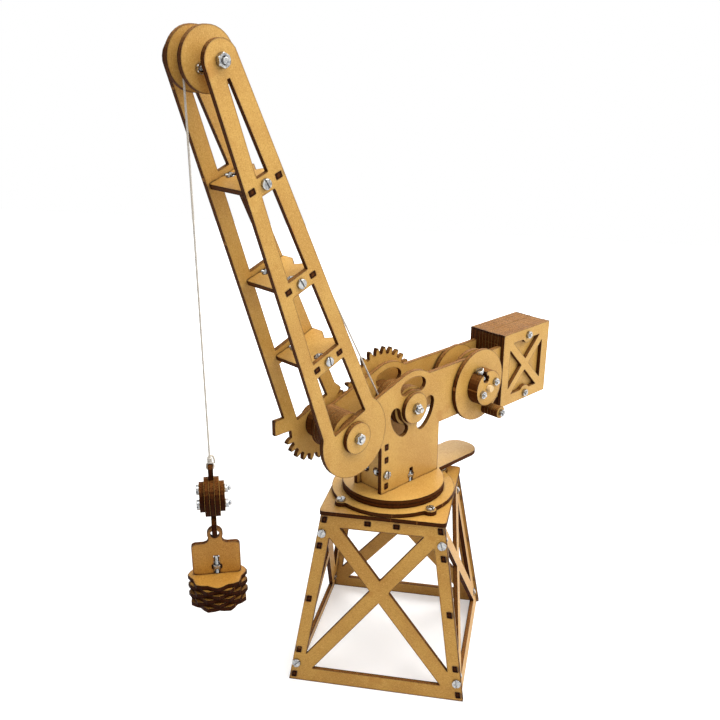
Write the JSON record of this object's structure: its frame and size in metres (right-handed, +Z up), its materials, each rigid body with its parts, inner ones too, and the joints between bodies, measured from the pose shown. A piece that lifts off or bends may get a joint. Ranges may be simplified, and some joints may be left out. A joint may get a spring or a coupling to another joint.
{
  "type": "tabletop model crane",
  "caption": "Laser-cut board model crane on an X-braced tower, with slewing cab, toothed luffing boom, hand winch, rope, hook ball and hanging load.",
  "frame": {"origin": "middle of the model's box, on the surface that the tower stands on", "axes": "+Z up along the tower, +X to the right of the tower's front frame, +Y to its back; the boom points towards -X and -Y at rest"},
  "size_m": [0.2094, 0.2906, 0.4462],
  "materials": {
    "board": "matt laser-cut fibreboard with burnt edges",
    "dowel": "plain round wood",
    "steel": "zinc-plated screws and nuts",
    "rope": "twisted white string"
  },
  "bodies": {
    "tower": {"tower_front_frame": "board", "tower_back_frame": "board", "tower_left_frame": "board", "tower_right_frame": "board", "tower_inner_plate": "board", "tower_top_plate": "board", "turntable_ring": "board", "slew_pivot_bolt": "steel"},
    "cab": {"turntable_hub_disc": "board", "turntable_lower_disc": "board", "turntable_top_disc": "board", "cab_side_near": "board", "cab_side_far": "board", "cab_front_plate": "board", "boom_pivot_spacer": "board", "boom_pivot_bolt": "steel", "pivot_washer_near": "board", "pivot_washer_far": "board", "pivot_spacer_far": "board", "counterweight_block": "board", "counterweight_frame_near": "board", "counterweight_frame_far": "board", "counterweight_bolt_bottom": "steel", "counterweight_bolt_top": "steel", "rope_drum_to_roller": "rope"},
    "boom": {"boom_side_near": "board", "boom_side_far": "board", "boom_brace_low": "board", "boom_brace_middle": "board", "boom_brace_high": "board", "sheave_axle_bolt": "steel"},
    "drive": {"drive_gear": "board", "drive_washer": "board", "drive_spacer_far": "board", "drive_axle_bolt": "steel"},
    "roller": {"guide_roller": "board"},
    "winch": {"winch_dowel": "dowel", "drum_core": "board", "drum_flange_near": "board", "drum_flange_far": "board", "winch_retainer": "board", "crank_wheel": "board", "crank_hub": "board", "knob_bolt": "steel", "rope_on_drum": "rope"},
    "knob": {"crank_knob": "board"},
    "sheave": {"sheave_core": "board", "sheave_flange_near": "board", "sheave_flange_far": "board"},
    "run": {"rope_run": "rope"},
    "fall": {"rope_fall": "rope"},
    "hook": {"hook_plate": "board", "ball_disc_inner_right": "board", "ball_disc_outer_right": "board", "ball_disc_inner_left": "board", "ball_disc_outer_left": "board"},
    "load": {"load_plate": "board", "load_stack": "board", "load_bolt": "steel"}
  },
  "joints": [
    {"name": "slew", "type": "hinge", "parent": "tower", "child": "cab", "pos_m": [0.00156, 0.00346, 0.1419], "axis": [0, 0, 1], "continuous": true},
    {"name": "luff", "type": "hinge", "parent": "cab", "child": "boom", "pos_m": [-0.02919, -0.04214, 0.1969], "axis": [0.829, -0.5592, 0], "range_deg": [-12, 35]},
    {"name": "drive_spin", "type": "hinge", "parent": "cab", "child": "drive", "pos_m": [0.00397, 0.00702, 0.1999], "axis": [0.829, -0.5592, 0], "range_deg": [-28.2, 9.8]},
    {"name": "winch_turn", "type": "hinge", "parent": "cab", "child": "winch", "pos_m": [0.04266, 0.06439, 0.1989], "axis": [0.829, -0.5592, 0], "range_deg": [-560, 1000], "deforming": ["rope_on_drum"]},
    {"name": "roller_spin", "type": "hinge", "parent": "cab", "child": "roller", "pos_m": [0.00397, 0.00702, 0.1999], "axis": [0.829, -0.5592, 0], "range_deg": [-436.63, 778.12]},
    {"name": "sheave_spin", "type": "hinge", "parent": "boom", "child": "sheave", "pos_m": [-0.0802, -0.11777, 0.42966], "axis": [0.829, -0.5592, 0], "range_deg": [-922.35, 517.4]},
    {"name": "rope_run_swing", "type": "hinge", "parent": "boom", "child": "run", "pos_m": [-0.0802, -0.11777, 0.42966], "axis": [0.829, -0.5592, 0], "range_deg": [-4.82, 1.78], "deforming": ["rope_run"]},
    {"name": "rope_fall_plumb", "type": "hinge", "parent": "boom", "child": "fall", "pos_m": [-0.0802, -0.11777, 0.42966], "axis": [0.829, -0.5592, 0], "range_deg": [-35.2, 12.2]},
    {"name": "hoist", "type": "slide", "parent": "fall", "child": "hook", "axis": [0, 0, 1], "range_m": [-0.1026, 0.1825], "deforming": ["rope_fall"]},
    {"name": "load_swing", "type": "hinge", "parent": "hook", "child": "load", "pos_m": [-0.08652, -0.12713, 0.1596], "axis": [0.3584, -0.9336, 0], "range_deg": [-25, 25]},
    {"name": "knob_spin", "type": "hinge", "parent": "winch", "child": "knob", "pos_m": [0.04737, 0.07137, 0.17858], "axis": [0.829, -0.5592, 0], "continuous": true}
  ],
  "couplings": [
    {"joint": "drive_spin", "follows": "luff", "ratio": -0.8},
    {"joint": "rope_run_swing", "follows": "luff", "ratio": -0.132},
    {"joint": "rope_fall_plumb", "follows": "luff", "ratio": -1},
    {"joint": "roller_spin", "follows": "winch_turn", "ratio": 0.77612},
    {"joint": "sheave_spin", "follows": "winch_turn", "ratio": -0.92035},
    {"joint": "hoist", "follows": "winch_turn", "m_per_rad": 0.0104}
  ]
}
